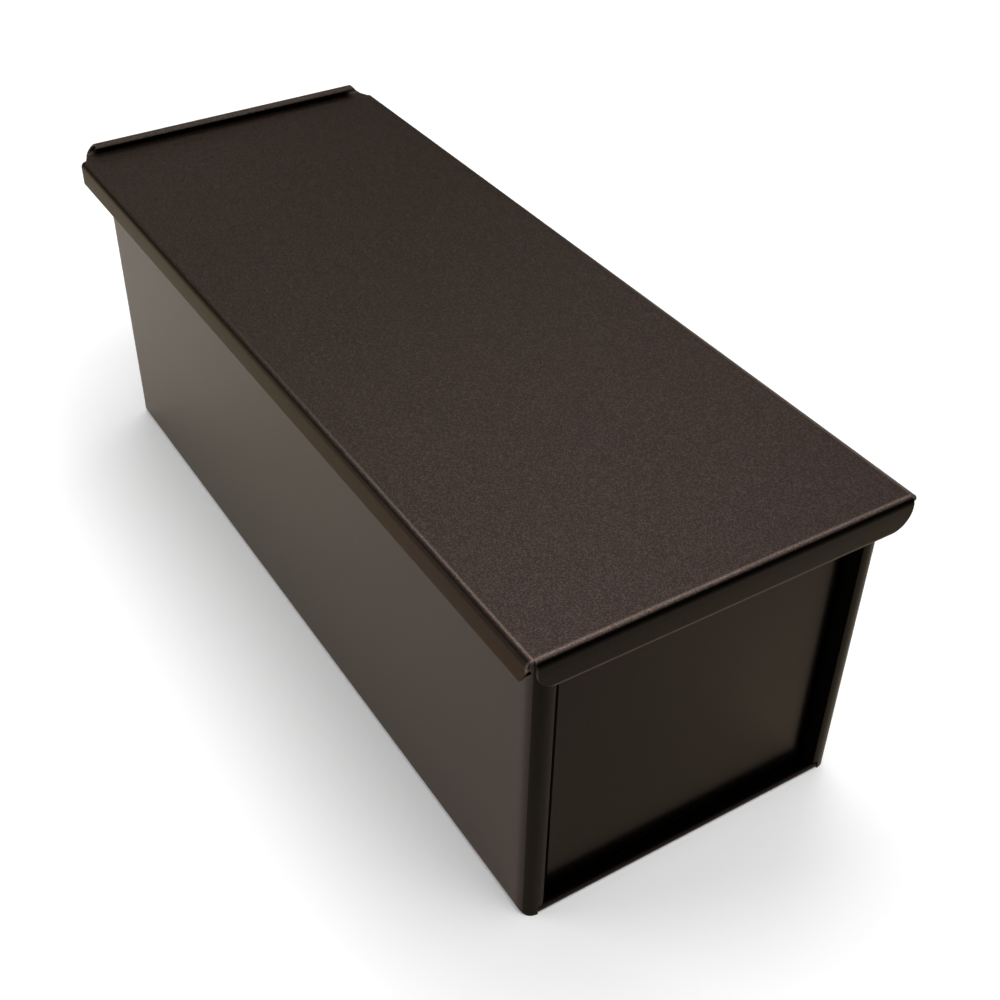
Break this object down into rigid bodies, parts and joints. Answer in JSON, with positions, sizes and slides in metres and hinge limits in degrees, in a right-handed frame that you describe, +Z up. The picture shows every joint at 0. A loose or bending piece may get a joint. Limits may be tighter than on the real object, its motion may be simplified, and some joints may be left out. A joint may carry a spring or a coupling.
{
  "type": "pullman loaf pan",
  "caption": "Long straight-sided loaf tin with a wired rim, recessed end panels and a lid that slides along the rim.",
  "frame": {"origin": "centre of the pan's floor on its outer face, where it rests on the table", "axes": "+X along the pan, towards the end that the lid's stop flange covers; +Z up; +Y across the pan"},
  "size_m": [0.2995, 0.118, 0.107],
  "materials": {
    "pan_coating": "semi-gloss dark brown non-stick coating",
    "panel_coating": "semi-gloss dark brown non-stick coating",
    "lid_coating": "dark brown non-stick coating with a fine metallic fleck",
    "wire": "drawn steel wire"
  },
  "bodies": {
    "pan": {"body_sheet": "pan_coating", "near_end_panel": "panel_coating", "far_end_panel": "panel_coating", "rim_wire": "wire"},
    "lid": {"lid": "lid_coating"}
  },
  "joints": [
    {"name": "lid_slide", "type": "slide", "parent": "pan", "child": "lid", "axis": [1, 0, 0], "range_m": [0, 0.3]}
  ]
}
